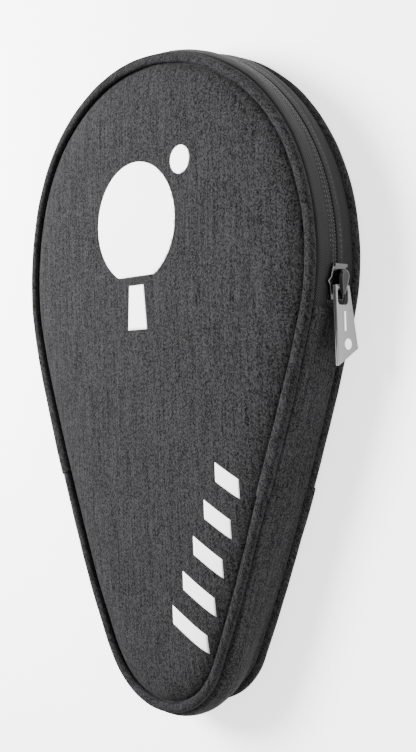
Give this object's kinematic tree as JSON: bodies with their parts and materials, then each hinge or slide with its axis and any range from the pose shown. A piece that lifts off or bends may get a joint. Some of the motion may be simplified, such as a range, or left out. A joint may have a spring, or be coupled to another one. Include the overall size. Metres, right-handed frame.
{
  "type": "table tennis bat case",
  "caption": "Padded teardrop zip case that holds one table-tennis bat, with piped seams, a fold-up head lid and a zip slider with a pull tab.",
  "frame": {"origin": "on the rest plane under the middle of the case's outline, where the back panel's outer face lies", "axes": "+Y along the case from the tip to the wide head, +Z out of the front panel, +X to the right seen from the front, the side where the closed zip's slider is parked"},
  "size_m": [0.1993, 0.2988, 0.0306],
  "materials": {
    "shell_fabric": "charcoal melange woven polyester",
    "zip_tape": "dark grey herringbone tape",
    "lining": "black smooth nylon",
    "foam": "dark grey closed-cell foam",
    "piping_cord": "plain white cord",
    "zip_coil": "dark nylon coil",
    "slider_metal": "gloss gunmetal",
    "tab_metal": "satin light grey",
    "bright_steel": "bright",
    "white_print": "flat white ink"
  },
  "bodies": {
    "case": {"back_panel_fabric": "shell_fabric", "back_panel_foam": "foam", "back_panel_lining": "lining", "back_piping_cord": "piping_cord", "back_piping_cover": "shell_fabric", "back_piping_tip_cover": "shell_fabric", "back_seam_binding": "lining", "back_zip_coil": "zip_coil", "back_zip_tape": "zip_tape", "front_panel_fabric_lower": "shell_fabric", "front_panel_foam_lower": "foam", "front_panel_lining_lower": "lining", "front_piping_cord_lower": "piping_cord", "front_piping_cover_left": "shell_fabric", "front_piping_cover_right": "shell_fabric", "front_piping_tip_cover": "shell_fabric", "front_seam_binding_end_left": "lining", "front_seam_binding_end_right": "lining", "front_zip_coil_end_left": "zip_coil", "front_zip_coil_end_right": "zip_coil", "front_zip_tape_end_left": "zip_tape", "front_zip_tape_end_right": "zip_tape", "gusset_fabric": "shell_fabric", "gusset_foam": "foam", "gusset_lining": "lining", "print_bars": "white_print", "print_handle": "white_print", "zip_stop_left": "bright_steel", "zip_stop_right": "bright_steel"},
    "lid": {"front_panel_fabric_lid": "shell_fabric", "front_panel_foam_lid": "foam", "front_panel_lining_lid": "lining", "front_piping_cord_lid": "piping_cord", "front_piping_cover_lid": "shell_fabric", "front_seam_binding_lid": "lining", "front_zip_coil_lid": "zip_coil", "front_zip_tape_lid": "zip_tape", "print_blade": "white_print", "print_ball": "white_print"},
    "slider": {"slider_body": "slider_metal", "slider_cap": "slider_metal", "slider_lock_spring": "bright_steel"},
    "pull_tab": {"pull_tab": "tab_metal", "pull_tab_print": "white_print"}
  },
  "joints": [
    {"name": "lid_fold", "type": "hinge", "parent": "case", "child": "lid", "pos_m": [0, 0.0463, 0.0308], "axis": [1, 0, 0], "range_deg": [0, 100]},
    {"name": "slider_run", "type": "hinge", "parent": "case", "child": "slider", "pos_m": [0, 0.0508, 0.0147], "axis": [0, 0, 1], "range_deg": [0, 195.2]},
    {"name": "pull_tab_swing", "type": "hinge", "parent": "slider", "child": "pull_tab", "pos_m": [0.09816, 0.03569, 0.0147], "axis": [0, 0, 1], "range_deg": [0, 140]}
  ]
}
